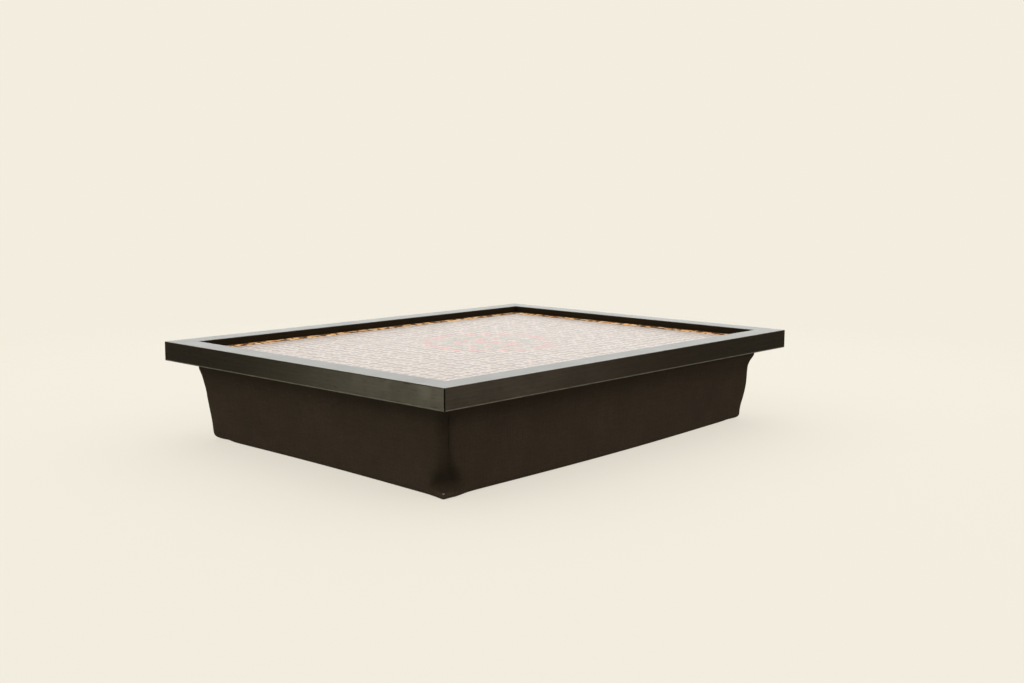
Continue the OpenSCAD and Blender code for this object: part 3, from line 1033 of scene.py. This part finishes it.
# lets the beads press the cloth out between its held edges; freedom goes from 0, held, to 1
def settleCloth(bag, freedom):
    scene = bpy.context.scene
    held = bag.vertex_groups.new(name="held")
    for vertex, free in zip(bag.data.vertices, freedom):
        held.add([vertex.index], 1 - (1 - clothSettling["hold"]) * free, "REPLACE")
    starts = [vertex.co.copy() for vertex in bag.data.vertices]
    outs = [vertex.normal.copy() for vertex in bag.data.vertices]
    cloth = bag.modifiers.new("settling", "CLOTH")
    cloth.settings.quality = clothSettling["quality"]
    cloth.settings.mass = clothSettling["mass"]
    cloth.settings.tension_stiffness = clothSettling["stretch"]
    cloth.settings.compression_stiffness = clothSettling["stretch"]
    cloth.settings.shear_stiffness = clothSettling["shear"]
    cloth.settings.bending_stiffness = clothSettling["bend"]
    cloth.settings.vertex_group_mass = "held"
    cloth.settings.use_pressure = True
    cloth.settings.uniform_pressure_force = clothSettling["pressure"]
    cloth.settings.shrink_min = -clothSettling["slack"]
    cloth.settings.effector_weights.gravity = 0
    cloth.point_cache.frame_start = 1
    cloth.point_cache.frame_end = clothSettling["frames"]
    for frameNumber in range(1, clothSettling["frames"] + 1):
        scene.frame_set(frameNumber)
    bpy.ops.object.modifier_apply(modifier="settling")
    scene.frame_set(1)
    bag.vertex_groups.clear()
    furthest = 0.0
    cap = clothSettling["cap"]
    for vertex, start, out in zip(bag.data.vertices, starts, outs):
        move = cap * math.tanh((vertex.co - start).dot(out) / cap)
        furthest = max(furthest, abs(move))
        vertex.co = start + out * move
    print("cloth settled, its furthest point", round(furthest / mm, 1), "mm from where it was cut")


def sewBag():
    top = railLow.z - bagShape["underRails"]
    bag, half = startBox("bag_cloth_cover", top)
    layPattern(bag, half)
    cutHem(bag, half, top)
    seamGap = bag.data.attributes.new("seamGap", "FLOAT", "POINT")
    pinchShadeShare = bag.data.attributes.new("pinchShadeShare", "FLOAT", "POINT")
    freedom = []
    for vertex in bag.data.vertices:
        # each point's distance from the seam for its painted line, and its share of painted shade in the
        # pinch
        vertex.co, gap, fold, free = bagPoint(vertex.co, half, 0, top)
        seamGap.data[vertex.index].value = gap
        pinchShadeShare.data[vertex.index].value = fold
        freedom.append(free)
    settleCloth(bag, freedom)
    bpy.ops.object.shade_smooth()
    smoother = bag.modifiers.new("smoother", "SUBSURF")
    smoother.levels = 1
    smoother.render_levels = 1
    bpy.ops.object.modifier_apply(modifier="smoother")
    wall = bag.modifiers.new("clothThickness", "SOLIDIFY")
    wall.thickness = bagShape["cloth"]
    wall.offset = -1
    bpy.ops.object.modifier_apply(modifier="clothThickness")
    bag.data.materials.append(bagCloth())
    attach(bag, "root")
    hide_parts("bag_cover")
    bpy.ops.object.select_all(action="DESELECT")
    print("bag sewn", len(bag.data.polygons), "faces")


clothFinish = {
    "thread": (0.0970, 0.0688, 0.0426, 1),
    "darkThread": (0.0545, 0.0383, 0.0236, 1),
    # the dark of the painted shade along the seam and in the pinch
    "seamShade": (0.012, 0.010, 0.006, 1),
    "lint": (0.10, 0.085, 0.065, 1),
    "pitch": 0.55 * mm,              # from one thread to the next
    "weaveShade": (0.55, 1.0),       # how bright a thread is at its edges and along its crown
    "slubUp": (1400, 45, 1),         # slubs of the upright threads to the metre, along and up the wall
    "slubAlong": (45, 1400, 1),      # and of the level ones
    "dyeScale": 28.0,                # the dye takes a little unevenly
    "slubShare": 0.7,
    "dyeShare": 0.5,
    "shadeBand": (0.35, 0.85),
    "grainScale": (520, 520, 1),
    "grainBand": (0.58, 0.36),
    "grainDark": 0.35,
    "fluffScale": (650, 650, 1),
    "fleckBand": (0.80, 0.86),
    "seamBand": (0.675 * mm, 0.315 * mm),    # the painted shade line along the seam fades so far from its middle
    "seamShadeStrength": 0.5,
    # painted shade in the pinch: where it sets in and is full, and how dark it gets
    "pinchBand": (0.0, 0.9),
    "pinchDark": 0.32,
    "roughness": 0.9,
    "specular": 0.01,
    "sheen": 0.01,
    "sheenRoughness": 0.5,
    "slubHeight": 0.8,
    "weaveRelief": 0.12 * mm,
    "weaveStrength": 0.8,
    "beadScale": 180.0,              # the beads press through
    "beadRelief": 0.35 * mm,
    "beadStrength": 0.5,
}


# one set of threads: where its crowns are, and the row it is in
def threads(tree, place):
    turn = calc(tree, "DIVIDE", place, clothFinish["pitch"])
    crown = calc(tree, "ABSOLUTE", calc(tree, "SINE", times(tree, turn, math.pi)))
    return crown, calc(tree, "FLOOR", turn)


def plainWeave(tree, flat):
    u, v = splitPlace(tree, flat)[:2]
    crownU, rowU = threads(tree, u)
    crownV, rowV = threads(tree, v)
    over = calc(tree, "PINGPONG", plus(tree, rowU, rowV), 1.0)
    return plus(tree, times(tree, over, crownU), times(tree, minus(tree, 1.0, over), crownV))


def attribute(tree, name):
    return addNode(tree, "ShaderNodeAttribute", attribute_name=name).outputs["Fac"]


def bagCloth():
    material, tree, shader = startMaterial("bagCloth")
    finish = clothFinish
    flat = addNode(tree, "ShaderNodeUVMap", uv_map="cloth").outputs[0]
    weave = plainWeave(tree, flat)
    slubU = speckle(tree, stretched(tree, flat, finish["slubUp"]))
    slubV = speckle(tree, stretched(tree, flat, finish["slubAlong"]))
    slub = times(tree, plus(tree, slubU, slubV), 0.5)
    cloudy = speckle(tree, objectPlace(tree), finish["dyeScale"], detail=4.0, rough=0.6)
    share = plus(tree, times(tree, slub, finish["slubShare"]), times(tree, cloudy, finish["dyeShare"]))
    share = span(tree, share, *finish["shadeBand"], 0.0, 1.0)
    share = times(tree, share, span(tree, weave, 0.0, 1.0, *finish["weaveShade"]))
    colour = tint(tree, share, finish["darkThread"], finish["thread"])
    grain = speckle(tree, stretched(tree, flat, finish["grainScale"]))
    dark = times(tree, ease(tree, grain, *finish["grainBand"]), finish["grainDark"])
    colour = tint(tree, dark, colour, finish["darkThread"])
    fluff = speckle(tree, stretched(tree, flat, finish["fluffScale"]), detail=1.0)
    colour = tint(tree, ease(tree, fluff, *finish["fleckBand"]), colour, finish["lint"])
    # painted shade: a dark line along the corner's seam, where the fold's crease falls
    seamShade = ease(tree, attribute(tree, "seamGap"), *finish["seamBand"])
    colour = tint(tree, times(tree, seamShade, finish["seamShadeStrength"]), colour, finish["seamShade"])
    # painted shade: darker cloth in the pinch
    fold = ease(tree, attribute(tree, "pinchShadeShare"), *finish["pinchBand"])
    colour = tint(tree, times(tree, fold, finish["pinchDark"]), colour, finish["seamShade"])
    feed(tree, colour, shader.inputs["Base Color"])
    shader.inputs["Roughness"].default_value = finish["roughness"]
    shader.inputs["Specular IOR Level"].default_value = finish["specular"]
    shader.inputs["Sheen Weight"].default_value = finish["sheen"]
    shader.inputs["Sheen Roughness"].default_value = finish["sheenRoughness"]
    height = plus(tree, weave, times(tree, slub, finish["slubHeight"]))
    fine = relief(tree, height, finish["weaveRelief"], finish["weaveStrength"])
    beads = speckle(tree, objectPlace(tree), finish["beadScale"])
    coarse = relief(tree, beads, finish["beadRelief"], finish["beadStrength"], fine)
    feed(tree, coarse, shader.inputs["Normal"])
    return material


# the beads: one body that fills the cloth

beadFilling = {
    "underBoard": 0.4 * mm,
    "inCloth": 1.6 * mm,             # from the cloth's outside
    "finish": {
        "name": "whiteBeads",
        "pale": (0.94, 0.93, 0.90, 1),
        "dark": (0.78, 0.77, 0.74, 1),
        "scale": 300.0,
        "roughness": 0.6,
    },
}


def pourBeads():
    top = bagBoardLow.z - beadFilling["underBoard"]
    beads, half = startBox("bead_filling", top)
    for vertex in beads.data.vertices:
        vertex.co = bagPoint(vertex.co, half, beadFilling["inCloth"], top)[0]
    bpy.ops.object.shade_smooth()
    beads.data.materials.append(spottedFinish(beadFilling["finish"]))
    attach(beads, "root")
    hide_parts("bead_fill")
    bpy.ops.object.select_all(action="DESELECT")
    print("beads poured")


placeCamera()
makeWorld()
hangSoftboxes()
layFloor()
finishRails()
finishBoard()
finishHidden()
sewBag()
pourBeads()

bpy.context.scene.view_settings.view_transform = "Standard"
